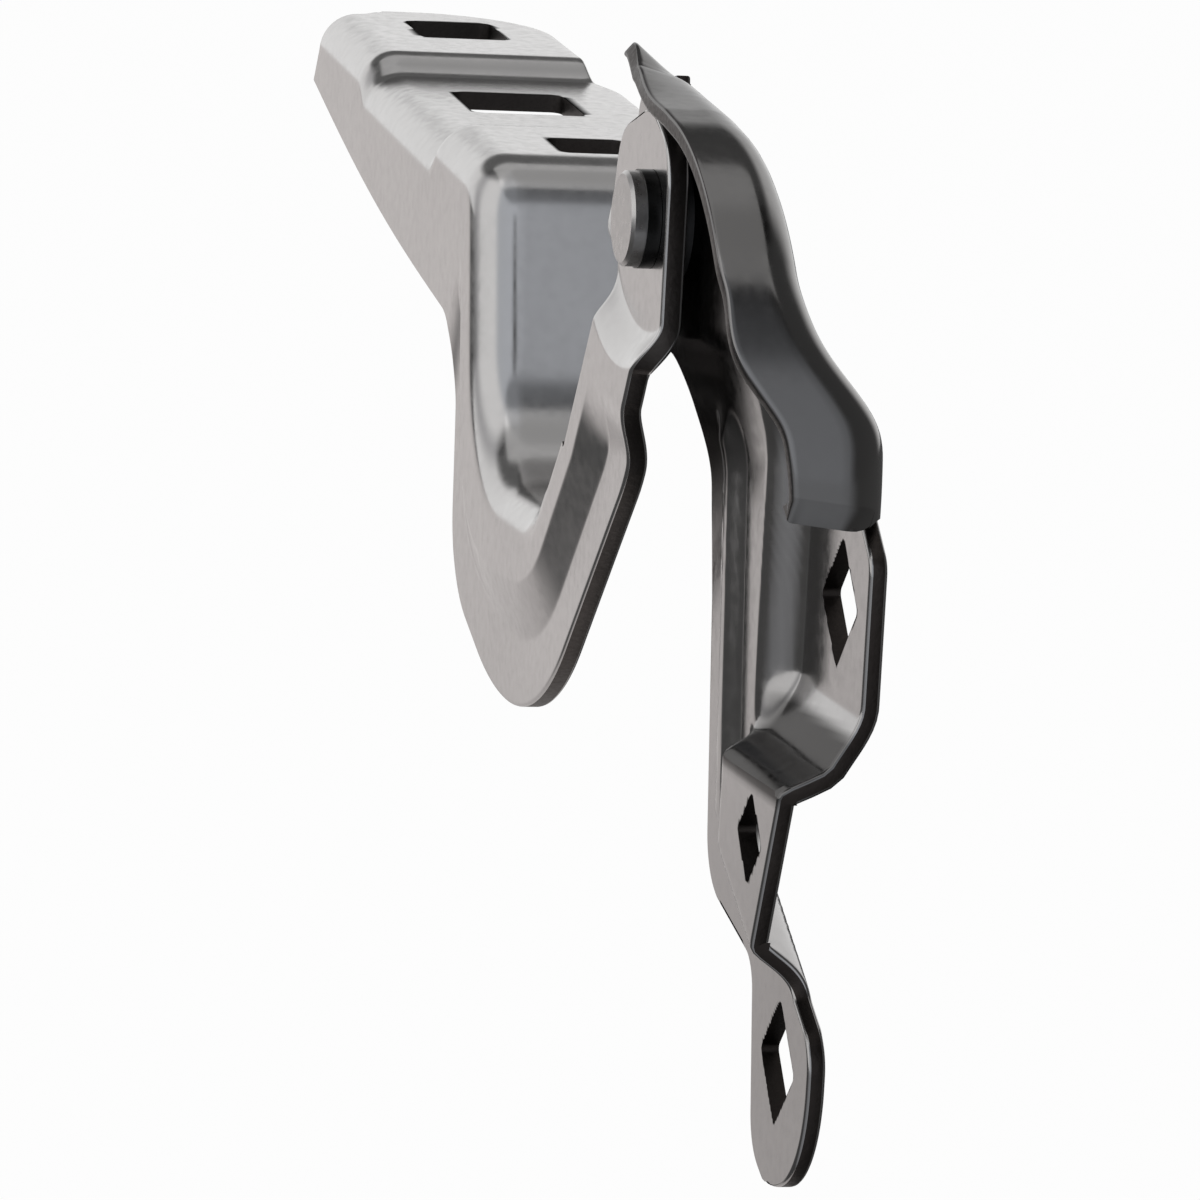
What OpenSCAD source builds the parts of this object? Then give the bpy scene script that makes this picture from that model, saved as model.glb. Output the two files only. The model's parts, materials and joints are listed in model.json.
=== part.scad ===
// Gooseneck bonnet hinge: a pressed bonnet arm that swings on a shouldered rivet
// in a pressed body bracket. X runs along the pivot, Y along the car, Z is up.

/* [Sheet metal] */
// Thickness of the bonnet arm's sheet
arm_sheet = 2.5; // [2:0.1:3]
// Thickness of the body bracket's sheet
bracket_sheet = 2; // [1.8:0.1:2.5]
// Outer radius of the arm's flange bend
arm_bend = 5.5; // [4.5:0.1:6]
// Inner radius of the bracket's flange bend
bracket_bend = 3; // [2.5:0.1:4]

/* [Pivot] */
// Diameter of the rivet's bearing shank
shank_d = 8; // [6:0.1:9]
// Diameter of the rivet's flat head
head_d = 11; // [10.5:0.1:13]
// Thickness of the rivet's flat head
head_h = 1.8; // [1.4:0.1:2.4]
// Diameter of the washer under the head
washer_d = 11.4; // [10.8:0.1:13]
// Thickness of the washer under the head
washer_h = 1.6; // [1:0.1:2]
// Wall of the bush in the arm's ear
bush_wall = 1; // [0.8:0.1:1.5]
// Thickness of the thrust washer between the arm and the bracket
thrust_h = 0.9; // [0.6:0.1:1.5]
// Diameter of the thrust washer
thrust_d = 14; // [12:0.1:14.4]
// Thickness of the washer behind the bracket
tail_washer_h = 1.2; // [0.8:0.1:2]
// Height of the rivet's closed end
tail_h = 2.2; // [1.6:0.1:3]
// Radial running clearance of the shank in the bush
running_gap = 0.04; // [0.02:0.01:0.09]
// Gap between sliding faces along the pivot
face_gap = 0.05; // [0.02:0.01:0.1]

/* [Bonnet pads] */
// Rise of the pads towards the front, in degrees
pad_pitch = 5.8; // [5:0.2:7]
// Height of the rear pad above the pivot
pad_rise = 0.6; // [-1:0.1:1]
// Distance from the pivot to the rear bonnet hole
rear_hole_y = 97; // [95:0.5:99]
// Spacing from the rear bonnet hole to the middle one
rear_spacing = 47; // [44:0.5:50]
// Spacing from the middle bonnet hole to the front one
front_spacing = 45; // [42:0.5:48]
// Length of the arm past the front bonnet hole
front_margin = 16; // [15:0.5:18]
// Reach of the pads from the ear's face
pad_reach = 33; // [31:0.5:36]
// Offset of the bonnet holes from the ear's face
hole_line_x = 15.4; // [14.8:0.2:16]
// Side of the front bonnet hole across the arm
bolt_hole_x = 13; // [12:0.5:14]
// Side of the front bonnet hole along the arm
bolt_hole_y = 15; // [13:0.5:16]
// Side of the square rear bonnet hole
rear_hole = 10.4; // [10:0.2:11.4]
// Side of the middle bonnet hole across the arm
slot_x = 16; // [15:0.5:17]
// Side of the middle bonnet hole along the arm
slot_y = 16.5; // [14:0.5:17]
// Depth of the recess round the middle hole
recess_depth = 2.8; // [1.5:0.1:3.2]

/* [Gooseneck] */
// Distance from the pivot to the throat's far wall
throat_far = 83; // [81:0.5:84]
// Depth of the throat's floor below the pivot
throat_depth = 39.8; // [38:0.2:42]
// Depth of the gooseneck's lowest edge below the pivot
neck_depth = 75; // [73:0.2:77]
// Distance from the pivot to the near edge of the ear and neck
neck_near = 7.5; // [7:0.1:9]
// Offset of the arm's web from the face of its ear
ear_joggle = 2.7; // [1.5:0.1:3.2]
// Step between the gooseneck's rim and its raised inner band
rim_step = 2.2; // [1:0.1:2.4]
// Height of the ear's top above the pivot
ear_top = 12; // [11.6:0.1:12.2]
// Distance from the pivot to the far edge of the ear
ear_far = 20; // [18:0.5:22]

/* [Body bracket] */
// Distance of the body holes behind the pivot
body_hole_y = 47; // [45.5:0.5:48]
// Depth of the upper body hole below the pivot
upper_hole_z = 36.5; // [35:0.5:38]
// Spacing from the upper body hole to the middle one
upper_pitch = 26; // [25:0.5:27]
// Spacing from the middle body hole to the lower one
lower_pitch = 25; // [24:0.5:27]
// Side of the upper and lower square body holes
body_hole = 10; // [8:0.25:10.5]
// Side of the middle square body hole
middle_hole = 7.2; // [6:0.2:9]
// Offset of the upper pad from the leg
upper_offset = 4; // [3:0.25:5]
// Offset of the middle pad from the leg
middle_offset = 4.6; // [3:0.2:5.5]
// Offset of the pivot boss from the leg
boss_offset = 4.2; // [3.4:0.2:5]
// Distance from the pivot to the bracket's rear edge
rear_edge = 58; // [57:0.5:60]
// Width of the bracket's flange past its bend
flange_width = 7.2; // [6.4:0.2:8]
// Width of the flange past its bend over the pivot
flange_tip = 4.8; // [4:0.2:5.6]
// Width of the flange past its bend at its open end
flange_lip = 7; // [6:0.25:8]
// Height of the flange's top over the pivot
flange_top = 16.6; // [16.4:0.2:18]
// Height of the bead along the leg
bead_height = 1.4; // [0.6:0.1:2]

/* [Hidden] */
$fn = 64;
cut = 60;
step = 0.01;
stations_per_corner = 7;
web_columns = 14;
bend_columns = 3;
flange_columns = 2;

// The pivot frame has the ear's outer face at X 0 and the pivot axis at Y 0, Z 0.
bracket_x = arm_sheet + 2 * face_gap + thrust_h;
leg_x = bracket_x + boss_offset;
upper_x = leg_x + upper_offset;
middle_x = leg_x - middle_offset;
web_x = -ear_joggle;
upper_face_x = upper_x + bracket_sheet;
// Height of the reference point on the upper pad above its hole
pad_point = 9;
// Depth to which the pads' body side is coined flat
coin = 0.03;
origin = [upper_face_x - coin, -body_hole_y, pad_point - upper_hole_z];

middle_hole_y = rear_hole_y + rear_spacing;
front_hole_y = middle_hole_y + front_spacing;
front_end = front_hole_y + front_margin;
middle_z = upper_hole_z + upper_pitch;
lower_z = middle_z + lower_pitch;
bush_d = shank_d + 2 * running_gap + 2 * bush_wall;

// Soft step from 0 at a to 1 at b.
function ease(a, b, x) = let (t = min(1, max(0, (x - a) / (b - a)))) t * t * (3 - 2 * t);
// Soft window: 1 between a and b, with edges of the given width.
function window(a, b, edge, x) = ease(a - edge, a, x) * (1 - ease(b, b + edge, x));
function mix(a, b, t) = a + (b - a) * t;
function unit(v) = v / norm(v);
function turned(v, a) = [v[0] * cos(a) - v[1] * sin(a), v[0] * sin(a) + v[1] * cos(a)];
function flat(c) = [c[0], c[1]];

// A rail is a list of corners [y, z, radius], walked by a parameter that is whole at each corner's middle.
function lead(c, k) = unit(flat(c[k]) - flat(c[k - 1]));
function inner_corner(c, k) = k > 0 && k < len(c) - 1;
function corner_turn(c, k) =
    inner_corner(c, k)
    ? let (a = lead(c, k), b = lead(c, k + 1)) atan2(a[0] * b[1] - a[1] * b[0], a * b)
    : 0;
function tangent_length(c, k) = inner_corner(c, k) ? c[k][2] * tan(abs(corner_turn(c, k)) / 2) : 0;
function arc_length(c, k) = inner_corner(c, k) ? c[k][2] * abs(corner_turn(c, k)) * PI / 180 : 0;
function arc_point(c, k, q) =
    let (turn = corner_turn(c, k), r = c[k][2])
    (abs(turn) < 0.01 || r == 0)
    ? flat(c[k])
    : let (a = lead(c, k), start = flat(c[k]) - a * tangent_length(c, k))
      let (centre = start + r * turned(a, turn > 0 ? 90 : -90))
      centre + turned(start - centre, turn * q);
function rail_point(c, s) =
    let (k = min(len(c) - 2, floor(s)), f = s - k)
    let (first = arc_length(c, k) / 2, last = arc_length(c, k + 1) / 2)
    let (a = arc_point(c, k, 1), b = arc_point(c, k + 1, 0))
    let (gap = norm(b - a), at = f * (first + gap + last))
    at < first ? arc_point(c, k, 0.5 + 0.5 * at / first)
    : (at <= first + gap || last == 0) ? a + (gap > 0 ? (b - a) * min(1, (at - first) / gap) : [0, 0])
    : arc_point(c, k + 1, 0.5 * (at - first - gap) / last);
function rail_side(c, s) =
    let (a = rail_point(c, max(0, s - step)), b = rail_point(c, min(len(c) - 1, s + step)))
    let (t = unit(b - a)) [t[1], -t[0]];

// Normal of a grid of points at row i, column j, pointing to +X.
function grid_normal(g, i, j) =
    let (i0 = max(0, i - 1), i1 = min(len(g) - 1, i + 1), j0 = max(0, j - 1), j1 = min(len(g[0]) - 1, j + 1))
    let (n = unit(cross(g[i1][j] - g[i0][j], g[i][j1] - g[i][j0])))
    n[0] < 0 ? -n : n;

// Closed sheet from two matching grids. Columns past web_n exist only up to row flange_end.
module sheet(near_side, far_side, web_n, flange_end) {
    rows = len(near_side) - 1;
    cols = len(near_side[0]) - 1;
    stride = cols + 1;
    half = (rows + 1) * stride;
    points = [
        for (side = [near_side, far_side]) for (row = side) for (p = row) p
    ];
    function at(i, j) = i * stride + j;
    function pair(a, b, c, d) = [[a, b, c], [a, c, d]];
    function last_column(i) = i < flange_end ? cols : web_n;
    faces = [
        for (i = [0:rows - 1]) for (j = [0:last_column(i) - 1])
            each pair(at(i, j), at(i, j + 1), at(i + 1, j + 1), at(i + 1, j)),
        for (i = [0:rows - 1]) for (j = [0:last_column(i) - 1])
            each pair(half + at(i, j), half + at(i + 1, j), half + at(i + 1, j + 1), half + at(i, j + 1)),
        for (i = [0:rows - 1])
            each pair(at(i, 0), at(i + 1, 0), half + at(i + 1, 0), half + at(i, 0)),
        for (i = [0:rows - 1]) let (j = last_column(i))
            each pair(at(i, j), half + at(i, j), half + at(i + 1, j), at(i + 1, j)),
        for (j = [0:cols - 1])
            each pair(at(0, j), half + at(0, j), half + at(0, j + 1), at(0, j + 1)),
        for (j = [0:web_n - 1])
            each pair(at(rows, j), at(rows, j + 1), half + at(rows, j + 1), half + at(rows, j)),
        for (j = [web_n:cols - 1])
            each pair(at(flange_end, j), at(flange_end, j + 1),
                      half + at(flange_end, j + 1), half + at(flange_end, j))
    ];
    polyhedron(points, faces, convexity = 10);
}

// Rectangle w by l with corners of radius r, centred.
module rounded_rectangle(w, l, r) {
    square([w, l - 2 * r], center = true);
    square([w - 2 * r, l], center = true);
    for (x = [-1, 1]) for (y = [-1, 1])
        translate([x * (w / 2 - r), y * (l / 2 - r)]) circle(r);
}

// Bar along the pivot axis, from x0 to x1.
module pivot_bar(x0, x1, d) {
    translate([x0, 0, 0]) rotate([0, 90, 0]) cylinder(h = x1 - x0, d = d);
}

module pivot_ring(x0, x1, outer_d, bore_d) {
    difference() {
        pivot_bar(x0, x1, outer_d);
        pivot_bar(x0 - 1, x1 + 1, bore_d);
    }
}

// Bonnet arm
pad_slope = tan(pad_pitch);
bend_drop = arm_bend / cos(pad_pitch);
function pad_top(y) = pad_rise + pad_slope * (y - rear_hole_y);
function recess(y) =
    recess_depth * window(rear_hole_y + 19, front_hole_y - 25, 5, y);
arm_inner = [
    [front_end, pad_top(front_end) - bend_drop, 0],
    [throat_far + arm_bend, pad_top(throat_far + arm_bend) - bend_drop, 3],
    [throat_far - 3, -throat_depth - arm_bend, 24],
    [42, -throat_depth - arm_bend, 14],
    [27, -30, 0],
    [12, -9, 6],
    [ear_far, -2, 4],
    [ear_far - 3, ear_top - 3, 7],
    [6, ear_top, 0]
];
arm_outer = [
    [front_end + 0.5, pad_top(front_end) - 11, 0],
    [throat_far + 14, -23, 8],
    [throat_far + 11, -neck_depth + 18, 16],
    [52, -neck_depth, 44],
    [12 - neck_near, -neck_depth / 2 + 6, 20],
    [-neck_near, -13, 8],
    [-neck_near, -4, 0],
    [-neck_near, ear_top - 3.5, 7],
    [0.5, ear_top, 0]
];
front_corner = 17;
ear_flat = thrust_d / 2 + 5.5;
ear_ramp = 5;
run_out_s = 4;
front_rows = 8;
pad_rows = 14;
round_s = front_corner / (front_end - throat_far - arm_bend);
arm_rows = concat(
    [for (m = [0:front_rows - 1]) round_s * (1 - cos(90 * m / front_rows))],
    [for (m = [0:pad_rows - 1]) mix(round_s, 1, m / pad_rows)],
    [for (k = [1:len(arm_inner) - 2]) for (m = [0:stations_per_corner - 1]) k + m / stations_per_corner],
    [len(arm_inner) - 1]
);
run_out_row = front_rows + pad_rows + (run_out_s - 1) * stations_per_corner;
front_trim = 3.5;
// How far the front edge falls back at the bend, where its corner is rounded off.
function trim(s) = front_trim * (1 - ease(0, 1.4 * round_s, s));
function inner_rail(s) =
    let (p = rail_point(arm_inner, s)) [p[0] - trim(s), p[1] - pad_slope * trim(s) - (s < 1 ? recess(p[0]) : 0)];
// The ear lies at X 0. Round the gooseneck the outer rim is set back from the inner band.
function rim(s) = mix(0.5, 1, ease(1.8, 3, s)) * ease(0.95, 1.35, s) * (1 - ease(4.1, 4.55, s));
// The ear is flat round the pivot, inside an oval; a ramp below it leads out to the neck.
function ear_level(p) = mix(0, web_x, ease(ear_flat, ear_flat + ear_ramp, norm([0.75 * p[0], p[1]])));
function arm_level(s, v, p) =
    let (wide = mix(0.2, 0.36, ease(1.8, 3, s)))
    ear_level(p) + rim_step * rim(s) * (1 - ease(0.42, 0.42 + wide, v));
edge_bow = 1.9;
function outer_rail(s) =
    let (p = rail_point(arm_outer, s)) [p[0], p[1] - (s < 1 ? edge_bow * sin(180 * s) : 0)];
function arm_web(s, v) =
    let (p = mix(outer_rail(s), inner_rail(s), v)) [arm_level(s, v, p), p[0], p[1]];
// Reach of the flange from the ear's face: rounded front corner, then a taper down the throat.
function front_round(y) =
    let (a = max(0, y - (front_end - front_corner)))
    front_corner - sqrt(max(0, front_corner * front_corner - a * a));
pad_length = pad_reach - web_x - arm_bend;
wall_length = 15;
front_inset = 3.2;
lip_length = 0.25;
function flange_length(s) =
    s <= 1 ? let (y = rail_point(arm_inner, s)[0])
             pad_length - front_round(y) - front_inset * ease(front_hole_y - 34, front_hole_y - 18, y)
    : s <= 2 ? mix(pad_length, wall_length, ease(0.6, 2, s))
    : mix(wall_length, lip_length, ease(1.7, run_out_s - 1, s));
function flange_angle(s) = mix(90, 5, ease(run_out_s - 1.2, run_out_s - 0.4, s));
function arm_flange(s, k, depth) =
    let (p = inner_rail(s), side = rail_side(arm_inner, s), full = flange_angle(s))
    let (a = full * min(1, k / bend_columns), r = arm_bend - depth)
    let (long = flange_length(s) * max(0, (k - bend_columns) / flange_columns))
    let (q = p + side * (r * sin(a) + long * cos(a)))
    let (back = k > bend_columns ? trim(s) : 0)
    [web_x + arm_bend - r * cos(a) + long * sin(a), q[0] + back, q[1] + pad_slope * back];
arm_web_left = [for (s = arm_rows) [for (j = [0:web_columns]) arm_web(s, j / web_columns)]];
flange_steps = bend_columns + flange_columns;

module arm_sheet_body() {
    left = [for (i = [0:len(arm_rows) - 1]) concat(arm_web_left[i],
            [for (k = [1:flange_steps]) arm_flange(min(run_out_s, arm_rows[i]), k, 0)])];
    right = [for (i = [0:len(arm_rows) - 1]) concat(
            [for (j = [0:web_columns]) arm_web_left[i][j] + arm_sheet * grid_normal(arm_web_left, i, j)],
            [for (k = [1:flange_steps]) arm_flange(min(run_out_s, arm_rows[i]), k, arm_sheet)])];
    sheet(left, right, web_columns, run_out_row);
}

// Flat coined along the tops of the rear and front pads.
module coined_pads() {
    translate([-cut / 2, throat_far, pad_top(throat_far)]) rotate([pad_pitch, 0, 0])
        translate([0, -cut / 4, -coin]) cube([2 * cut, 4 * cut, cut]);
}

module bonnet_hole(y, w, l) {
    translate([hole_line_x, y, pad_top(y)]) rotate([pad_pitch, 0, 0])
        translate([0, 0, -cut / 4]) linear_extrude(cut / 2) rounded_rectangle(w, l, 1.5);
}

module bonnet_arm() {
    color("silver") difference() {
        arm_sheet_body();
        coined_pads();
        bonnet_hole(rear_hole_y, rear_hole, rear_hole);
        bonnet_hole(middle_hole_y, slot_x, slot_y);
        bonnet_hole(front_hole_y, bolt_hole_x, bolt_hole_y);
        pivot_bar(-cut, cut, bush_d);
    }
}

// Body bracket
flange_outer = bracket_bend + bracket_sheet;
flange_slope = 0.12;
bracket_near = [
    [5.5, flange_top - flange_outer, 0],
    [-1, flange_top - flange_outer, 20],
    [-20, flange_top - flange_outer - 20 * flange_slope, 0],
    [-rear_edge + flange_outer - 1.2, flange_top - flange_outer - rear_edge * flange_slope - 1.5, 34],
    [-rear_edge + flange_outer, -upper_hole_z + 10, 0],
    [-rear_edge, -upper_hole_z + 6, 3],
    [-rear_edge, -middle_z + 7, 10],
    [-rear_edge + 9.5, -middle_z - 15, 5],
    [-rear_edge - 1.5, -lower_z + 4.5, 5],
    [-rear_edge - 1.5, -lower_z - 12, 14],
    [-body_hole_y + 1, -lower_z - 14, 0]
];
bracket_far = [
    [6.5, flange_top - 0.5, 0],
    [24, flange_top - 3, 5],
    [20, -14, 10],
    [-3, -16, 6],
    [-4.5, -30, 12],
    [-7.5, -upper_hole_z - 6, 0],
    [-9.5, -middle_z + 6, 0],
    [-12, -middle_z - 12, 8],
    [-body_hole_y + 13, -lower_z + 8.5, 5],
    [-body_hole_y + 9.5, -lower_z - 12, 6.5],
    [-body_hole_y + 4, -lower_z - 14, 0]
];
flange_end_s = 4;
bracket_rows = [for (k = [0:len(bracket_near) - 2]) for (m = [0:stations_per_corner - 1])
                k + m / stations_per_corner, len(bracket_near) - 1];
flange_end_row = floor(flange_end_s * stations_per_corner);
flange_last_s = bracket_rows[flange_end_row];
// Offset of the web's near face over the bracket's outline.
function bracket_level(y, z) =
    let (boss = ease(-1, 17, z + 16 + 0.25 * (y + rear_edge)))
    let (above = 1 - ease(16.5, 29.5, z + upper_hole_z))
    let (upper = ease(-19, -9.5, z + upper_hole_z) * above * (1 - ease(-34, -29, y)))
    let (below = ease(-20, -15.5, z + middle_z - 0.5 * (y + rear_edge)))
    let (middle = below * (1 - ease(6.5, 10, z + middle_z)) * (1 - ease(-34, -28, y)))
    let (bead_y = mix(-16, -21, (z + 25) / -40))
    let (bead = window(-1, 1, 3, y - bead_y) * window(-middle_z - 2, -24, 5, z))
    leg_x - boss_offset * boss + upper_offset * upper * (1 - boss) - middle_offset * middle
    - bead_height * bead;
function bracket_web(s, v) =
    let (p = mix(rail_point(bracket_near, s), rail_point(bracket_far, s), v))
    [bracket_level(p[0], p[1]), p[0], p[1]];
function bracket_flange(s, k, depth) =
    let (p = rail_point(bracket_near, s), side = rail_side(bracket_near, s))
    let (full = mix(mix(50, 90, ease(0, 1.8, s)), 76, ease(flange_last_s - 0.1, flange_last_s, s)))
    let (a = full * min(1, k / bend_columns), r = bracket_bend + depth, x = bracket_level(p[0], p[1]))
    let (taper = 1 - 0.3 * ease(flange_last_s - 0.12, flange_last_s, s))
    let (wide = mix(mix(flange_lip, flange_tip, ease(0, 1.2, s)), flange_width, ease(3.05, 3.45, s)))
    let (long = max(0.4, wide * taper) * max(0, (k - bend_columns) / flange_columns))
    let (q = p + side * (r * sin(a) + long * cos(a)))
    [x - bracket_bend + r * cos(a) - long * sin(a), q[0], q[1]];
// Columns run from the far edge to the rear edge, so that the flange comes last.
bracket_web_left = [for (s = bracket_rows) [for (j = [0:web_columns]) bracket_web(s, 1 - j / web_columns)]];

module bracket_sheet_body() {
    left = [for (i = [0:len(bracket_rows) - 1]) concat(bracket_web_left[i],
            [for (k = [1:flange_steps]) bracket_flange(min(flange_last_s, bracket_rows[i]), k, 0)])];
    right = [for (i = [0:len(bracket_rows) - 1]) concat(
            [for (j = [0:web_columns])
             bracket_web_left[i][j] + bracket_sheet * grid_normal(bracket_web_left, i, j)],
            [for (k = [1:flange_steps])
             bracket_flange(min(flange_last_s, bracket_rows[i]), k, bracket_sheet)])];
    sheet(left, right, web_columns, flange_end_row);
}

module body_hole_cut(z, side) {
    translate([-cut / 2, -body_hole_y, -z]) rotate([0, 90, 0])
        linear_extrude(cut) rotate(45) rounded_rectangle(side, side, 0.8);
}

// Flat coined on the body side of a pad whose back lies at x, upwards from z0.
module coined(x, z0) {
    translate([x - coin, -rear_edge - cut / 2, z0]) cube(cut);
}

module body_bracket() {
    color("dimgray") difference() {
        bracket_sheet_body();
        body_hole_cut(upper_hole_z, body_hole);
        body_hole_cut(middle_z, middle_hole);
        body_hole_cut(lower_z, body_hole);
        pivot_bar(-cut, cut, shank_d);
        coined(upper_face_x, -upper_hole_z - 25);
        coined(leg_x + bracket_sheet, -cut - lower_z + 8);
    }
}

// Pivot stack
washer_x = -face_gap - washer_h;
tail_x = bracket_x + bracket_sheet + tail_washer_h;

module pivot_rivet() {
    color("gray") {
        translate([washer_x - head_h, 0, 0]) rotate([0, 90, 0]) rotate_extrude()
            polygon([[0, 0], [head_d / 2 - 0.4, 0], [head_d / 2, 0.4], [head_d / 2, head_h], [0, head_h]]);
        pivot_bar(washer_x, tail_x, shank_d);
        translate([tail_x, 0, 0]) rotate([0, 90, 0]) rotate_extrude()
            polygon([[0, 0], [head_d / 2, 0], [head_d / 2, tail_h * 0.4], [head_d / 2 - 1.6, tail_h], [0, tail_h]]);
    }
}

module head_washer() {
    color("dimgray") pivot_ring(washer_x, -face_gap, washer_d, shank_d);
}

module pivot_bush() {
    color("darkkhaki") pivot_ring(0, arm_sheet, bush_d, shank_d + 2 * running_gap);
}

module thrust_washer() {
    color("black") pivot_ring(arm_sheet + face_gap, arm_sheet + face_gap + thrust_h, thrust_d, shank_d + 2 * running_gap);
}

module tail_washer() {
    color("dimgray") pivot_ring(bracket_x + bracket_sheet, tail_x, washer_d, shank_d);
}

translate(-origin) bonnet_arm();
translate(-origin) body_bracket();
translate(-origin) pivot_rivet();
translate(-origin) head_washer();
translate(-origin) pivot_bush();
translate(-origin) thrust_washer();
translate(-origin) tail_washer();
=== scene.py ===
import bmesh
import bpy
import json
import math
from mathutils import Matrix, Vector


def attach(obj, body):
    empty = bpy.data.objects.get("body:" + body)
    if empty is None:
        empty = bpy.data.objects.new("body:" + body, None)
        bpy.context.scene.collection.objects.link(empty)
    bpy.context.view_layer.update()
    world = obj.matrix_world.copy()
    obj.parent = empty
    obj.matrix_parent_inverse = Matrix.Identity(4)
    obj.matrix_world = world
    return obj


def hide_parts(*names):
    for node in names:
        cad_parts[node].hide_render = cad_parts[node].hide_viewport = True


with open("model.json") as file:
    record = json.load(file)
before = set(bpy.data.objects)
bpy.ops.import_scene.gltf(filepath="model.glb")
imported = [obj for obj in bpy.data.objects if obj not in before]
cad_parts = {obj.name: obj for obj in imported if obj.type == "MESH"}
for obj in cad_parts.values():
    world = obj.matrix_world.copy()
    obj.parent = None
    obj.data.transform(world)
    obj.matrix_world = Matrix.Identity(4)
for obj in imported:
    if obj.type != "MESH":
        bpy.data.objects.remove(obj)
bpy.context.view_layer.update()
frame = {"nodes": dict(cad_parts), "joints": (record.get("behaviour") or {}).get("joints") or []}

MM = 0.001
pivot = Vector(frame["joints"][0]["pos_m"])

# Sizes of the two stampings in millimetres. X runs along the pivot from the ear's outer face,
# Y along the car from the pivot, and Z up from the pivot.
arm_sheet, arm_bend = 2.5, 5.5
bracket_sheet, bracket_bend = 2.0, 3.0
shank_d, bush_d = 8.0, 10.08
pad_pitch, pad_rise, pad_reach = math.radians(5.8), 0.6, 33.0
rear_hole_y, middle_hole_y, front_hole_y, front_end = 97.0, 144.0, 189.0, 205.0
hole_line_x, recess_depth = 15.4, 2.8
rear_hole, slot_x, slot_y, bolt_hole_x, bolt_hole_y = 10.4, 16.0, 16.5, 13.0, 15.0
throat_far, throat_depth, neck_depth, neck_near = 83.0, 39.8, 75.0, 7.5
ear_joggle, rim_step, ear_top, ear_far = 2.7, 2.2, 12.0, 20.0
ear_flat, ear_ramp = 12.5, 5.0
body_hole_y, upper_hole_z, middle_z, lower_z = 47.0, 36.5, 62.5, 87.5
body_hole, middle_hole = 10.0, 7.2
upper_offset, middle_offset, boss_offset = 4.0, 4.6, 4.2
rear_edge, flange_width, flange_tip, flange_lip = 58.0, 7.2, 4.8, 7.0
flange_top, bead_height = 16.6, 1.4

web_x = -ear_joggle
ear_gap = 3.5
leg_x = ear_gap + boss_offset
flange_outer = bracket_bend + bracket_sheet
flange_slope = 0.12
front_corner, front_inset, front_trim = 17.0, 3.2, 3.5
wall_length, lip_length, edge_bow = 15.0, 0.25, 1.9
run_out, flange_last = 4.0, 4.0
edge_round, end_rise, end_taper = 0.35, 1.5, 0.18
bonnet_hole_corner, body_hole_corner, punch_depth = 1.5, 0.8, 14.0


def slope(a, b, x):
    """Even slope from 0 at a to 1 at b, with a crease at both ends."""
    return min(1.0, max(0.0, (x - a) / (b - a)))


def ease(a, b, x):
    """Rise from 0 at a to 1 at b, soft at both ends."""
    t = slope(a, b, x)
    return t * t * (3 - 2 * t)


def window(a, b, edge, x):
    """1 between a and b, easing to 0 over an edge outside them."""
    return ease(a - edge, a, x) * (1 - ease(b, b + edge, x))


def mix(a, b, t):
    return a + (b - a) * t


class Rail:
    """Line through rounded corners (y, z, radius). Its parameter is whole at each corner's middle."""

    def __init__(self, corners):
        self.at = [Vector(c[:2]) for c in corners]
        self.radius = [c[2] for c in corners]
        self.last = len(corners) - 1
        self.turn = [0.0] * len(corners)
        for k in range(1, self.last):
            a = (self.at[k] - self.at[k - 1]).normalized()
            b = (self.at[k + 1] - self.at[k]).normalized()
            self.turn[k] = math.atan2(a.x * b.y - a.y * b.x, a.dot(b))

    def arc(self, k, q):
        turn, r = self.turn[k], self.radius[k]
        if abs(turn) < 0.0002 or r == 0:
            return self.at[k].copy()
        a = (self.at[k] - self.at[k - 1]).normalized()
        start = self.at[k] - a * r * math.tan(abs(turn) / 2)
        side = Vector((-a.y, a.x)) * (1 if turn > 0 else -1)
        centre = start + side * r
        return centre + Matrix.Rotation(turn * q, 2) @ (start - centre)

    def point(self, s):
        k = min(self.last - 1, int(s))
        first = self.radius[k] * abs(self.turn[k]) / 2
        last = self.radius[k + 1] * abs(self.turn[k + 1]) / 2
        a, b = self.arc(k, 1), self.arc(k + 1, 0)
        gap = (b - a).length
        at = (s - k) * (first + gap + last)
        if at < first:
            return self.arc(k, 0.5 + 0.5 * at / first)
        if at <= first + gap or last == 0:
            return a + ((b - a) * min(1, (at - first) / gap) if gap > 0 else Vector((0, 0)))
        return self.arc(k + 1, 0.5 * (at - first - gap) / last)

    def side(self, s):
        t = (self.point(min(self.last, s + 0.01)) - self.point(max(0, s - 0.01))).normalized()
        return Vector((t.y, -t.x))


def stations(a, b, s0, s1, count):
    """Values of the rails' parameter from s0 to s1, evenly spread along both rails."""
    fine = [mix(s0, s1, i / 1600) for i in range(1601)]
    run = [0.0]
    for i in range(1600):
        run.append(run[-1] + (a.point(fine[i + 1]) - a.point(fine[i])).length
                   + (b.point(fine[i + 1]) - b.point(fine[i])).length)
    out, i = [], 0
    for m in range(count + 1):
        want = run[-1] * m / count
        while i < 1599 and run[i + 1] < want:
            i += 1
        step = run[i + 1] - run[i]
        out.append(mix(fine[i], fine[i + 1], (want - run[i]) / step if step > 0 else 0))
    return out


# Tools for making the pieces
def clear():
    if bpy.context.object and bpy.context.object.mode != "OBJECT":
        bpy.ops.object.mode_set(mode="OBJECT")
    bpy.ops.object.select_all(action="DESELECT")


def choose(piece):
    clear()
    piece.select_set(True)
    bpy.context.view_layer.objects.active = piece


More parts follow.
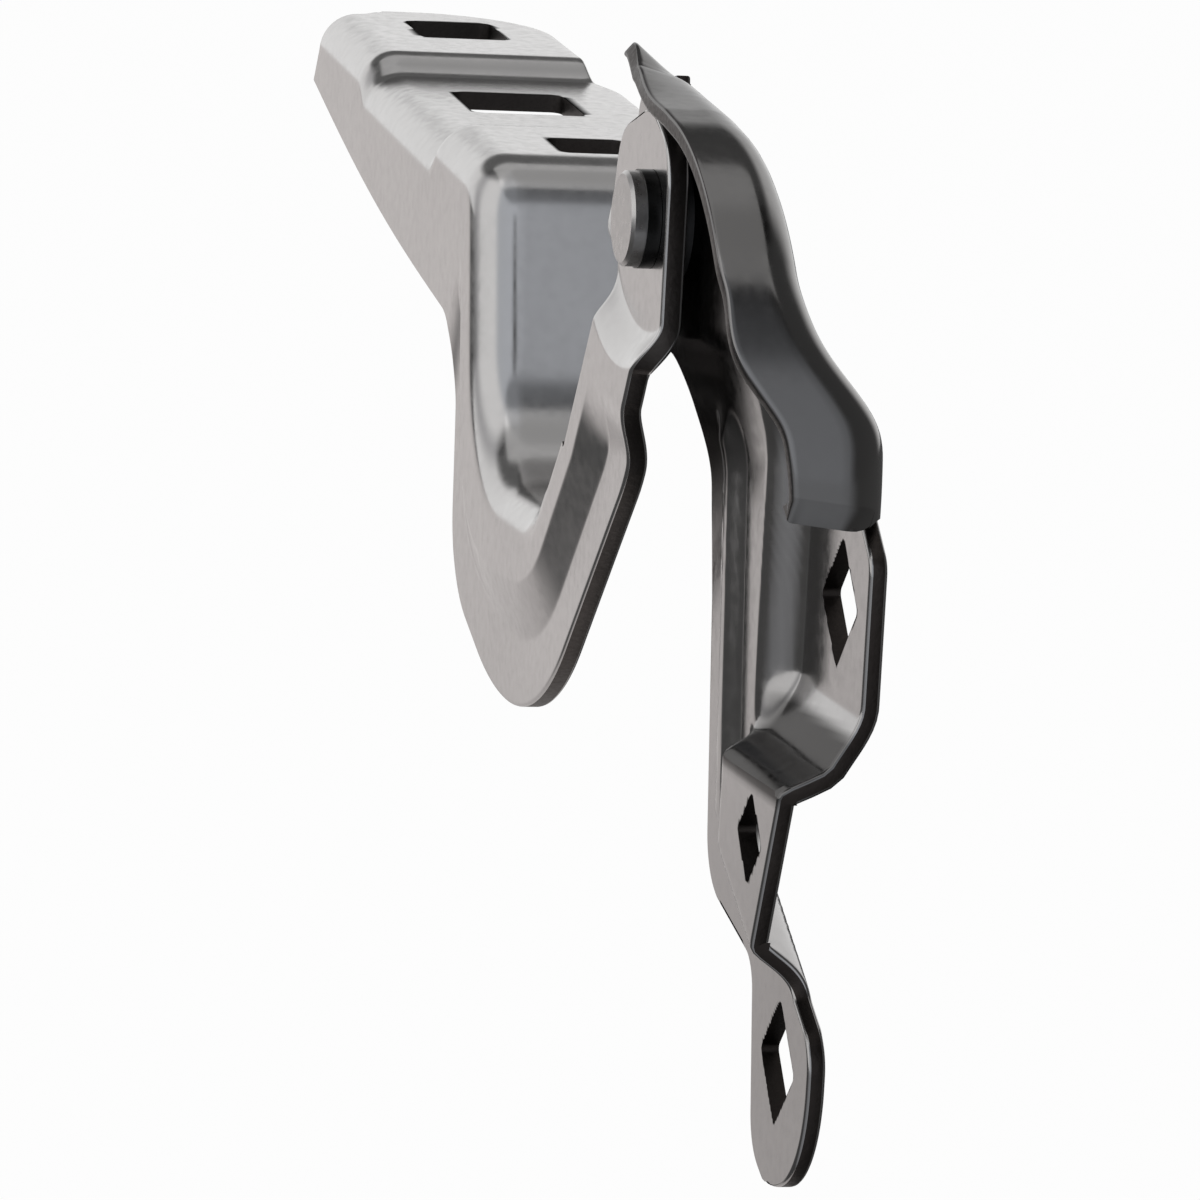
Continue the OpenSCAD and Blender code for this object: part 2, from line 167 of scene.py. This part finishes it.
def pressed_blank(name, rows, columns, place, tone):
    """A flat grid of sheet, pressed to the shape that place(row, column) gives in millimetres.
    Its tone attribute is a share of the full brightness, from tone(column, point); on the bracket it holds
    painted shade."""
    clear()
    bpy.ops.mesh.primitive_grid_add(x_subdivisions=columns, y_subdivisions=rows, size=2)
    piece = bpy.context.object
    piece.name = name
    coat = piece.data.attributes.new("tone", "FLOAT", "POINT")
    for v in piece.data.vertices:
        column = round((v.co.x + 1) / 2 * columns)
        row = round((v.co.y + 1) / 2 * rows)
        point = Vector(place(row, column))
        coat.data[v.index].value = tone(column, point)
        v.co = point * MM + pivot
    return piece


def join(*pieces):
    clear()
    for p in pieces:
        p.select_set(True)
    bpy.context.view_layer.objects.active = pieces[0]
    bpy.ops.object.join()
    bpy.ops.object.mode_set(mode="EDIT")
    bpy.ops.mesh.select_all(action="SELECT")
    bpy.ops.mesh.remove_doubles(threshold=0.000005)
    bpy.ops.mesh.normals_make_consistent(inside=False)
    bpy.ops.object.mode_set(mode="OBJECT")
    return pieces[0]


def face_left(piece):
    """Turns the blank's normals so that they look to -X over most of its web."""
    total = sum(p.normal.x * p.area for p in piece.data.polygons)
    if total > 0:
        choose(piece)
        bpy.ops.object.mode_set(mode="EDIT")
        bpy.ops.mesh.select_all(action="SELECT")
        bpy.ops.mesh.flip_normals()
        bpy.ops.object.mode_set(mode="OBJECT")


def between_face_and_rim(edge):
    return {f.material_index for f in edge.link_faces} == {0, 1}


def thicken(piece, thickness):
    """Gives the blank its sheet thickness behind its face, and breaks the sheared edges."""
    choose(piece)
    solid = piece.modifiers.new("Sheet", "SOLIDIFY")
    solid.thickness = thickness * MM
    solid.offset = -1
    solid.use_even_offset = False
    solid.use_rim = True
    solid.material_offset_rim = 1
    bpy.ops.object.modifier_apply(modifier="Sheet")
    bpy.ops.object.mode_set(mode="EDIT")
    bpy.ops.mesh.select_mode(type="EDGE")
    bpy.ops.mesh.select_all(action="DESELECT")
    sheet = bmesh.from_edit_mesh(piece.data)
    room = 1.2 * edge_round * MM
    for e in filter(between_face_and_rim, sheet.edges):
        beside = (o for v in e.verts for o in v.link_edges if o != e)
        e.select = all(o.calc_length() > room or between_face_and_rim(o) for o in beside)
    bmesh.update_edit_mesh(piece.data)
    bpy.ops.mesh.bevel(offset=edge_round * MM, segments=3, profile=0.5, affect="EDGES",
                       clamp_overlap=False, material=0)
    bpy.ops.object.mode_set(mode="OBJECT")


def square_punch(name, centre, sides, radius, spin, turn):
    """Punch with rounded corners, lying along its own Z before it is turned."""
    clear()
    bpy.ops.mesh.primitive_cube_add(size=1)
    tool = bpy.context.object
    tool.name = name
    tool.scale = (sides[0] * MM, sides[1] * MM, punch_depth * MM)
    bpy.ops.object.transform_apply(location=False, rotation=False, scale=True)
    bpy.ops.object.mode_set(mode="EDIT")
    bpy.ops.mesh.select_mode(type="EDGE")
    bpy.ops.object.mode_set(mode="OBJECT")
    for e in tool.data.edges:
        a, b = (tool.data.vertices[i].co for i in e.vertices)
        e.select = abs(a.z - b.z) > punch_depth / 2 * MM
    bpy.ops.object.mode_set(mode="EDIT")
    bpy.ops.mesh.bevel(offset=radius * MM, segments=6, profile=0.5, affect="EDGES")
    bpy.ops.object.mode_set(mode="OBJECT")
    tool.rotation_euler = (0, 0, spin)
    bpy.ops.object.transform_apply(location=False, rotation=True, scale=False)
    tool.rotation_euler = turn
    tool.location = Vector(centre) * MM + pivot
    return tool


def round_punch(name, d):
    clear()
    bpy.ops.mesh.primitive_cylinder_add(vertices=96, radius=d / 2 * MM, depth=60 * MM,
                                        rotation=(0, math.pi / 2, 0), location=pivot)
    tool = bpy.context.object
    tool.name = name
    return tool


def punch(piece, *tools):
    for tool in tools:
        tool.data.materials.append(piece.data.materials[1])
        choose(piece)
        cut = piece.modifiers.new("Punch", "BOOLEAN")
        cut.operation = "DIFFERENCE"
        cut.solver = "EXACT"
        cut.material_mode = "TRANSFER"
        cut.object = tool
        bpy.ops.object.modifier_apply(modifier="Punch")
        bpy.data.objects.remove(tool)


def finish_piece(piece):
    choose(piece)
    bpy.ops.object.mode_set(mode="EDIT")
    bpy.ops.mesh.select_all(action="SELECT")
    bpy.ops.mesh.normals_make_consistent(inside=False)
    bpy.ops.object.mode_set(mode="OBJECT")
    bpy.ops.object.shade_smooth_by_angle(angle=math.radians(38))
    clear()


# Materials
def mapped(nodes, links, value, span, result, how="SMOOTHSTEP"):
    """A value mapped from one span to another."""
    m = nodes.new("ShaderNodeMapRange")
    m.interpolation_type = how
    for socket, number in zip(("From Min", "From Max", "To Min", "To Max"), (*span, *result)):
        m.inputs[socket].default_value = number
    links.new(value, m.inputs["Value"])
    return m.outputs["Result"]


def scaled(nodes, links, colour, share):
    """A colour times a share."""
    s = nodes.new("ShaderNodeVectorMath")
    s.operation = "SCALE"
    links.new(colour, s.inputs[0])
    links.new(share, s.inputs["Scale"])
    return s.outputs[0]


def metal(name, colour, dark, rough, grain, bump, toned=False):
    """Plated or coated steel: soft clouds in colour and gloss, a fine grain and a slight unevenness."""
    m = bpy.data.materials.new(name)
    m.use_nodes = True
    nodes, links = m.node_tree.nodes, m.node_tree.links
    shader = nodes["Principled BSDF"]
    shader.inputs["Metallic"].default_value = 1.0
    place = nodes.new("ShaderNodeTexCoord")
    clouds = nodes.new("ShaderNodeTexNoise")
    clouds.inputs["Scale"].default_value = 45.0
    clouds.inputs["Detail"].default_value = 5.0
    links.new(place.outputs["Object"], clouds.inputs["Vector"])
    tint = nodes.new("ShaderNodeValToRGB")
    tint.color_ramp.elements[0].position = 0.3
    tint.color_ramp.elements[0].color = (*dark, 1)
    tint.color_ramp.elements[1].position = 0.7
    tint.color_ramp.elements[1].color = (*colour, 1)
    links.new(clouds.outputs["Fac"], tint.inputs["Fac"])
    if toned:
        # Painted shade: the tone attribute darkens the colour and the reflections' tint wherever the tone is
        # below one.
        coat = nodes.new("ShaderNodeAttribute")
        coat.attribute_name = "tone"
        deep = scaled(nodes, links, tint.outputs["Color"], coat.outputs["Fac"])
        links.new(deep, shader.inputs["Base Color"])
        links.new(coat.outputs["Color"], shader.inputs["Specular Tint"])
    else:
        links.new(tint.outputs["Color"], shader.inputs["Base Color"])
    fine = nodes.new("ShaderNodeTexNoise")
    fine.inputs["Scale"].default_value = grain
    fine.inputs["Detail"].default_value = 6.0
    links.new(place.outputs["Object"], fine.inputs["Vector"])
    gloss = mapped(nodes, links, fine.outputs["Fac"], (0.3, 0.7), (rough - 0.04, rough + 0.05), "LINEAR")
    links.new(gloss, shader.inputs["Roughness"])
    relief = nodes.new("ShaderNodeBump")
    relief.inputs["Strength"].default_value = bump
    relief.inputs["Distance"].default_value = 0.0002
    links.new(fine.outputs["Fac"], relief.inputs["Height"])
    links.new(relief.outputs["Normal"], shader.inputs["Normal"])
    return m


arm_face = metal("arm zinc plate", (0.55, 0.54, 0.535), (0.52, 0.51, 0.505), 0.19, 700.0, 0.005, True)
# The sheared edges are rougher steel, which is real; their near-black colour is painted shade for the shadow
# and dark reflections they show.
arm_edge_painted_dark = metal("arm sheared edge painted dark", (0.10, 0.09, 0.085), (0.05, 0.045, 0.042), 0.42, 1600.0, 0.3)
bracket_face = metal("bracket dark coat", (0.43, 0.42, 0.415), (0.4, 0.39, 0.385), 0.15, 700.0, 0.004, True)
bracket_edge_painted_dark = metal("bracket sheared edge painted dark", (0.07, 0.06, 0.055), (0.035, 0.03, 0.028), 0.4, 1600.0, 0.3)
rivet_face = metal("rivet plate", (0.58, 0.565, 0.555), (0.5, 0.49, 0.485), 0.3, 1200.0, 0.08)
washer_face = metal("washer black oxide", (0.05, 0.05, 0.05), (0.025, 0.025, 0.025), 0.3, 1200.0, 0.1)
bush_face = metal("bush bronze", (0.5, 0.36, 0.19), (0.4, 0.28, 0.14), 0.32, 1200.0, 0.1)
nylon_face = metal("thrust washer nylon", (0.03, 0.03, 0.032), (0.02, 0.02, 0.021), 0.5, 700.0, 0.15)
nylon_face.node_tree.nodes["Principled BSDF"].inputs["Metallic"].default_value = 0.0

# Bonnet arm
pad_slope = math.tan(pad_pitch)
bend_drop = arm_bend / math.cos(pad_pitch)


def pad_top(y):
    return pad_rise + pad_slope * (y - rear_hole_y)


arm_inner = Rail([
    (front_end, pad_top(front_end) - bend_drop, 0),
    (throat_far + arm_bend, pad_top(throat_far + arm_bend) - bend_drop, 3),
    (throat_far - 3, -throat_depth - arm_bend, 24),
    (42, -throat_depth - arm_bend, 14),
    (27, -30, 0),
    (12, -9, 6),
    (ear_far, -2, 4),
    (ear_far - 3, ear_top - 3, 7),
    (6, ear_top, 0)])
arm_outer = Rail([
    (front_end + 0.5, pad_top(front_end) - 11, 0),
    (throat_far + 14, -23, 8),
    (throat_far + 11, -neck_depth + 18, 16),
    (52, -neck_depth, 44),
    (12 - neck_near, -neck_depth / 2 + 6, 20),
    (-neck_near, -13, 8),
    (-neck_near, -4, 0),
    (-neck_near, ear_top - 3.5, 7),
    (0.5, ear_top, 0)])
round_s = front_corner / (front_end - throat_far - arm_bend)
pad_length = pad_reach - web_x - arm_bend


def recess(y):
    return recess_depth * window(rear_hole_y + 19, front_hole_y - 25, 5, y)


def trim(s):
    return front_trim * (1 - ease(0, 1.4 * round_s, s))


def inner_rail(s):
    p = arm_inner.point(s)
    return Vector((p.x - trim(s), p.y - pad_slope * trim(s) - (recess(p.x) if s < 1 else 0)))


def outer_rail(s):
    p = arm_outer.point(s)
    return Vector((p.x, p.y - (edge_bow * math.sin(math.pi * s) if s < 1 else 0)))


def arm_web(s, v):
    p = outer_rail(s).lerp(inner_rail(s), v)
    rim = mix(0.5, 1, ease(1.8, 3, s)) * ease(0.95, 1.35, s) * (1 - ease(4.1, 4.55, s))
    wide = mix(0.2, 0.36, ease(1.8, 3, s))
    ramp = ease(ear_flat, ear_flat + ear_ramp, math.hypot(0.75 * p.x, p.y))
    ear = mix(0, web_x, ramp * max(1 - ease(-5, 1, p.y), ease(24, 34, p.x)))
    level = ear + rim_step * rim * (1 - slope(0.42, 0.42 + wide, v))
    return (level, p.x, p.y)


def front_round(y):
    a = max(0.0, y - (front_end - front_corner))
    return front_corner - math.sqrt(max(0.0, front_corner ** 2 - a * a))


def flange_length(s):
    if s <= 1:
        y = arm_inner.point(s).x
        return pad_length - front_round(y) - front_inset * ease(front_hole_y - 34, front_hole_y - 18, y)
    if s <= 2:
        return mix(pad_length, wall_length, ease(0.6, 2, s))
    return mix(wall_length, lip_length, ease(1.7, run_out - 1, s))


def arm_flange(s, bend, t):
    """Point on the flange: bend is the share of its bend that is made, t the share of its flat."""
    p, side = inner_rail(s), arm_inner.side(s)
    a = math.radians(mix(90, 5, ease(run_out - 1.2, run_out - 0.4, s))) * bend
    flat = flange_length(s) * t
    q = p + side * (arm_bend * math.sin(a) + flat * math.cos(a))
    back = trim(s) * ease(0, 0.5, t)
    return (web_x + arm_bend * (1 - math.cos(a)) + flat * math.sin(a), q.x + back, q.y + pad_slope * back)


def spread(j, n, width):
    """Even shares of a width, with the first and last at the room that the edge's rounding takes."""
    margin = 2 * edge_round / width
    return j / n if j in (0, n) else margin + (1 - 2 * margin) * (j - 1) / (n - 2)


def arm_share(s, column):
    return spread(column, web_n, (outer_rail(s) - inner_rail(s)).length)


web_n, bend_n, flat_n, neck_n = 56, 10, 22, 130
front_rows = 20
arm_s = [round_s * (1 - math.cos(math.pi / 2 * m / front_rows)) for m in range(front_rows)]
arm_s += stations(arm_inner, arm_outer, round_s, run_out, 250)
neck_stations = stations(arm_inner, arm_outer, run_out, 8, neck_n)


def arm_front_place(row, column):
    s = arm_s[row]
    if column <= web_n:
        return arm_web(s, arm_share(s, column))
    if column <= web_n + bend_n:
        return arm_flange(s, (column - web_n) / bend_n, 0)
    return arm_flange(s, 1, (column - web_n - bend_n) / flat_n)


def arm_neck_place(row, column):
    s = neck_stations[row]
    return arm_web(s, arm_share(s, column))


def arm_tone(column, p):
    """The arm's plate is even all over."""
    return 1.0


front = pressed_blank("bonnet_arm_pressing", len(arm_s) - 1, web_n + bend_n + flat_n,
                      arm_front_place, arm_tone)
neck = pressed_blank("neck", neck_n, web_n, arm_neck_place, arm_tone)
arm = join(front, neck)
arm.data.materials.append(arm_face)
arm.data.materials.append(arm_edge_painted_dark)
face_left(arm)
thicken(arm, arm_sheet)
tilt = (pad_pitch, 0, 0)
punch(arm,
      square_punch("rear punch", (hole_line_x, rear_hole_y, pad_top(rear_hole_y)),
                   (rear_hole, rear_hole), bonnet_hole_corner, 0, tilt),
      square_punch("middle punch", (hole_line_x, middle_hole_y, pad_top(middle_hole_y) - recess_depth),
                   (slot_x, slot_y), bonnet_hole_corner, 0, tilt),
      square_punch("front punch", (hole_line_x, front_hole_y, pad_top(front_hole_y)),
                   (bolt_hole_x, bolt_hole_y), bonnet_hole_corner, 0, tilt),
      round_punch("bush punch", bush_d))
finish_piece(arm)

# Body bracket
bracket_near = Rail([
    (5.5, flange_top - flange_outer, 0),
    (-1, flange_top - flange_outer, 20),
    (-20, flange_top - flange_outer - 20 * flange_slope, 0),
    (-rear_edge + flange_outer - 1.2, flange_top - flange_outer - rear_edge * flange_slope - 1.5, 34),
    (-rear_edge + flange_outer, -upper_hole_z + 10, 0),
    (-rear_edge, -upper_hole_z + 6, 3),
    (-rear_edge, -middle_z + 7, 10),
    (-rear_edge + 9.5, -middle_z - 15, 5),
    (-rear_edge - 1.5, -lower_z + 4.5, 5),
    (-rear_edge - 1.5, -lower_z - 12, 14),
    (-body_hole_y + 1, -lower_z - 14, 0)])
bracket_far = Rail([
    (6.5, flange_top - 0.5, 0),
    (24, flange_top - 3, 5),
    (20, -14, 10),
    (-3, -16, 6),
    (-4.5, -30, 12),
    (-7.5, -upper_hole_z - 6, 0),
    (-9.5, -middle_z + 6, 0),
    (-12, -middle_z - 12, 8),
    (-body_hole_y + 13, -lower_z + 8.5, 5),
    (-body_hole_y + 9.5, -lower_z - 12, 6.5),
    (-body_hole_y + 4, -lower_z - 14, 0)])


def bracket_level(y, z):
    boss = ease(-1, 17, z + 16 + 0.25 * (y + rear_edge))
    above = 1 - ease(16.5, 29.5, z + upper_hole_z)
    upper = ease(-19, -9.5, z + upper_hole_z) * above * (1 - ease(-34, -29, y))
    below = ease(-20, -15.5, z + middle_z - 0.5 * (y + rear_edge))
    middle = below * (1 - ease(6.5, 10, z + middle_z)) * (1 - ease(-34, -28, y))
    bead_y = mix(-16, -21, (z + 25) / -40)
    bead = window(-1, 1, 3, y - bead_y) * window(-middle_z - 2, -24, 5, z)
    return (leg_x - boss_offset * boss + upper_offset * upper * (1 - boss) - middle_offset * middle
            - bead_height * bead)


def bracket_web(s, v):
    p = bracket_near.point(s).lerp(bracket_far.point(s), v)
    return (bracket_level(p.x, p.y), p.x, p.y)


def bracket_flange(s, bend, t):
    p, side = bracket_near.point(s), bracket_near.side(s)
    a = math.radians(mix(50, 90, ease(0, 1.8, s))) * bend
    end = ease(flange_last - 0.5, flange_last, s)
    wide = mix(mix(flange_lip, flange_tip, ease(0, 1.2, s)), flange_width, ease(3.05, 3.45, s))
    flat = wide * (1 - end_taper * end) * t
    q = p + side * (bracket_bend * math.sin(a) + flat * math.cos(a))
    x = bracket_level(p.x, p.y) - bracket_bend * (1 - math.cos(a)) - flat * math.sin(a)
    return (x, q.x, q.y + end_rise * end * (bend + t) / 2)


def bracket_painted_shade(column, p):
    """Painted shade: darker on the flange and on the joggle's step, and darkest in the gap behind the ear,
    where shadow falls.
    """
    if column > leg_n:
        # Painted shade: the flange's faces are darkened.
        return mix(1, 0.58, ease(leg_n, leg_n + fold_n, column))
    # Painted shade on the step of the joggle between the upper and middle pads.
    painted_step_shade = window(-middle_z + 6.5, -middle_z + 12.5, 1.5, p.z) * (1 - ease(-34, -28, p.y))
    # Painted shade in the gap behind the arm's ear, where its shadow falls.
    painted_gap_shade = 1 - ease(18, 30, math.hypot(p.y + 2, p.z + 8))
    return mix(1, 0.3, painted_gap_shade) * mix(1, 0.4, painted_step_shade)


def bracket_share(s, column):
    return 1 - spread(column, leg_n, (bracket_far.point(s) - bracket_near.point(s)).length)


leg_n, fold_n, lip_n, low_n = 64, 12, 8, 150
top_s = stations(bracket_near, bracket_far, 0, flange_last, 190)
low_s = stations(bracket_near, bracket_far, flange_last, 10, low_n)


def bracket_top_place(row, column):
    s = top_s[row]
    if column <= leg_n:
        return bracket_web(s, bracket_share(s, column))
    if column <= leg_n + fold_n:
        return bracket_flange(s, (column - leg_n) / fold_n, 0)
    return bracket_flange(s, 1, (column - leg_n - fold_n) / lip_n)


def bracket_low_place(row, column):
    s = low_s[row]
    return bracket_web(s, bracket_share(s, column))


top = pressed_blank("body_bracket_pressing", len(top_s) - 1, leg_n + fold_n + lip_n,
                    bracket_top_place, bracket_painted_shade)
low = pressed_blank("leg", low_n, leg_n, bracket_low_place, bracket_painted_shade)
bracket = join(top, low)
bracket.data.materials.append(bracket_face)
bracket.data.materials.append(bracket_edge_painted_dark)
face_left(bracket)
thicken(bracket, bracket_sheet)
on_corner, along_x = math.radians(45), (0, math.radians(90), 0)
punch(bracket,
      square_punch("upper punch", (leg_x + upper_offset, -body_hole_y, -upper_hole_z),
                   (body_hole, body_hole), body_hole_corner, on_corner, along_x),
      square_punch("stud punch", (leg_x - middle_offset, -body_hole_y, -middle_z),
                   (middle_hole, middle_hole), body_hole_corner, on_corner, along_x),
      square_punch("lower punch", (leg_x, -body_hole_y, -lower_z),
                   (body_hole, body_hole), body_hole_corner, on_corner, along_x),
      round_punch("rivet punch", shank_d))
finish_piece(bracket)

for piece, node, body, slot in ((arm, "bonnet_arm", "arm", "arm_steel"),
                                (bracket, "body_bracket", "bracket", "bracket_steel")):
    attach(piece, body)
    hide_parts(node)

for node, finish in (("pivot_rivet", rivet_face), ("head_washer", washer_face), ("tail_washer", washer_face),
                     ("pivot_bush", bush_face), ("thrust_washer", nylon_face)):
    frame["nodes"][node].data.materials.clear()
    frame["nodes"][node].data.materials.append(finish)

# Studio
def room_light(nodes, links, direction, panels):
    """Soft panels round the part, placed by their angle from straight behind it, counted to the left."""
    sides = nodes.new("ShaderNodeSeparateXYZ")
    links.new(direction, sides.inputs[0])
    left = nodes.new("ShaderNodeMath")
    left.operation = "MULTIPLY"
    left.inputs[1].default_value = -1.0
    links.new(sides.outputs["X"], left.inputs[0])
    angle = nodes.new("ShaderNodeMath")
    angle.operation = "ARCTAN2"
    links.new(left.outputs[0], angle.inputs[0])
    links.new(sides.outputs["Y"], angle.inputs[1])
    turn = mapped(nodes, links, angle.outputs[0], (-math.pi, math.pi), (0, 1), "LINEAR")
    ring = nodes.new("ShaderNodeValToRGB")
    ring.color_ramp.interpolation = "EASE"
    ring.color_ramp.elements.remove(ring.color_ramp.elements[1])
    ring.color_ramp.elements[0].position = 0.0
    for degrees, _ in panels[1:]:
        ring.color_ramp.elements.new((degrees + 180) / 360)
    for stop, (_, colour) in zip(ring.color_ramp.elements, panels):
        stop.color = (*colour, 1)
    links.new(turn, ring.inputs["Fac"])
    return ring.outputs["Color"], sides


def leaning(nodes, links, sides, share):
    """How far a direction leans: its height and a share of its reach to the back."""
    lean = nodes.new("ShaderNodeMath")
    lean.operation = "MULTIPLY_ADD"
    lean.inputs[1].default_value = share
    links.new(sides.outputs["Y"], lean.inputs[0])
    links.new(sides.outputs["Z"], lean.inputs[2])
    return lean.outputs[0]


def for_camera(nodes, links, path, colour):
    """White where the camera looks straight at it, the room's own colour in reflections."""
    plain = nodes.new("ShaderNodeMix")
    plain.data_type = "RGBA"
    plain.inputs[7].default_value = (1, 1, 1, 1)
    links.new(path.outputs["Is Camera Ray"], plain.inputs[0])
    links.new(colour, plain.inputs[6])
    return plain.outputs[2]


white, dark, grey = (1, 1, 1), (0.1, 0.1, 0.1), (0.66, 0.69, 0.74)
# Painted light for the floor as reflections see it: lit paper behind the part, painted shade in front and at
# the sides, and dark painted bands between.
paper_painted_lit, paper_painted_front_shade, paper_painted_side_shade = (0.72, 0.685, 0.675), (0.5, 0.52, 0.55), (0.4, 0.41, 0.43)
floor_painted_light_panels = [(-180, paper_painted_front_shade), (-130, dark), (-75, dark), (-22, dark), (-9, paper_painted_lit),
                (20, paper_painted_lit), (32, dark), (80, dark), (130, paper_painted_side_shade), (179, paper_painted_front_shade)]
wall_panels = [(-180, grey), (-140, dark), (-75, dark), (-45, white), (40, white), (62, (0.55, 0.55, 0.56)),
               (84, white), (122, white), (138, (0.62, 0.65, 0.69)), (179, grey)]

# Floor of pale paper: white where the camera sees it, with a faint real shadow of the part from its small
# diffuse share; in reflections it shows painted lit and shaded panels and a painted shadow near the part
floor_size, floor_drop = 80, 0.16
clear()
bpy.ops.mesh.primitive_plane_add(size=floor_size, location=(0, 0, pivot.z - floor_drop))
floor = bpy.context.object
floor.name = "studio_floor"
paper = bpy.data.materials.new("studio paper")
paper.use_nodes = True
nodes, links = paper.node_tree.nodes, paper.node_tree.links
nodes["Principled BSDF"].inputs["Base Color"].default_value = (0.85, 0.85, 0.85, 1)
nodes["Principled BSDF"].inputs["Roughness"].default_value = 0.9
glow = nodes.new("ShaderNodeEmission")
glow.inputs["Strength"].default_value = 1.0
path = nodes.new("ShaderNodeLightPath")
shine = nodes.new("ShaderNodeMath")
shine.operation = "MAXIMUM"
links.new(path.outputs["Is Camera Ray"], shine.inputs[0])
links.new(path.outputs["Is Glossy Ray"], shine.inputs[1])
seen = nodes.new("ShaderNodeMath")
seen.operation = "MULTIPLY"
seen.inputs[1].default_value = 0.97
links.new(shine.outputs[0], seen.inputs[0])
spot = nodes.new("ShaderNodeTexCoord")
ring, _ = room_light(nodes, links, spot.outputs["Object"], floor_painted_light_panels)
away = nodes.new("ShaderNodeVectorMath")
away.operation = "LENGTH"
links.new(spot.outputs["Object"], away.inputs[0])
# Painted shadow: in reflections the floor is darker near the part.
painted_floor_shadow = mapped(nodes, links, away.outputs["Value"], (0.3, 0.75), (0.8, 1.0))
dim = scaled(nodes, links, ring, painted_floor_shadow)
links.new(for_camera(nodes, links, path, dim), glow.inputs["Color"])
blend = nodes.new("ShaderNodeMixShader")
links.new(seen.outputs[0], blend.inputs[0])
links.new(nodes["Principled BSDF"].outputs[0], blend.inputs[1])
links.new(glow.outputs[0], blend.inputs[2])
links.new(blend.outputs[0], nodes["Material Output"].inputs["Surface"])
floor.data.materials.append(paper)

# Room round the part, with a darker ceiling at the back and a dark hood above the camera
scene = bpy.context.scene
world = bpy.data.worlds.new("studio") if scene.world is None else scene.world
scene.world = world
world.use_nodes = True
nodes, links = world.node_tree.nodes, world.node_tree.links
sky = nodes["Background"]
sky.inputs["Strength"].default_value = 1.0
where = nodes.new("ShaderNodeTexCoord")
ring, sides = room_light(nodes, links, where.outputs["Generated"], wall_panels)
ceiling = mapped(nodes, links, leaning(nodes, links, sides, 0.45), (0.77, 0.9), (1.0, 0.15))
hood = mapped(nodes, links, leaning(nodes, links, sides, -0.6), (1.03, 1.1), (1.0, 0.45))
shade = nodes.new("ShaderNodeMath")
shade.operation = "MULTIPLY"
links.new(ceiling, shade.inputs[0])
links.new(hood, shade.inputs[1])
dim = scaled(nodes, links, ring, shade.outputs[0])
path = nodes.new("ShaderNodeLightPath")
links.new(for_camera(nodes, links, path, dim), sky.inputs["Color"])

# Camera at the angle of the photograph
view_azimuth, view_elevation, view_roll = math.radians(13.5), math.radians(9), math.radians(3)
picture, focal, pivot_px, distance = 1200.0, 5500.0, (650.5, 219.0), 0.63
sa, ca = math.sin(view_azimuth), math.cos(view_azimuth)
se, ce = math.sin(view_elevation), math.cos(view_elevation)
ahead = Vector((sa * ce, ca * ce, -se))
level = Vector((ca, -sa, 0))
upward = level.cross(ahead)
right = level * math.cos(view_roll) + upward * math.sin(view_roll)
up = upward * math.cos(view_roll) - level * math.sin(view_roll)
aim = ahead + right * (pivot_px[0] - picture / 2) / focal - up * (pivot_px[1] - picture / 2) / focal
lens = bpy.data.cameras.new("camera")
sensor = 36
lens.lens = focal / picture * sensor
lens.sensor_width = sensor
lens.clip_start = 0.05
camera = bpy.data.objects.new("camera", lens)
scene.collection.objects.link(camera)
turned = Matrix((right, up, -ahead)).transposed()
camera.matrix_world = Matrix.Translation(pivot - aim * distance) @ turned.to_4x4()
scene.camera = camera


def softbox(name, spot, target, size, power):
    lamp = bpy.data.lights.new(name, "AREA")
    lamp.shape = "RECTANGLE"
    lamp.size, lamp.size_y = size
    lamp.energy = power
    body = bpy.data.objects.new(name, lamp)
    scene.collection.objects.link(body)
    body.location = spot
    body.rotation_euler = (Vector(target) - Vector(spot)).to_track_quat("-Z", "Y").to_euler()
    return body


softbox("top softbox", (0, 0.1, 1.2), (0, 0.1, 0), (1.2, 1.2), 2)

scene.view_settings.view_transform = "Standard"
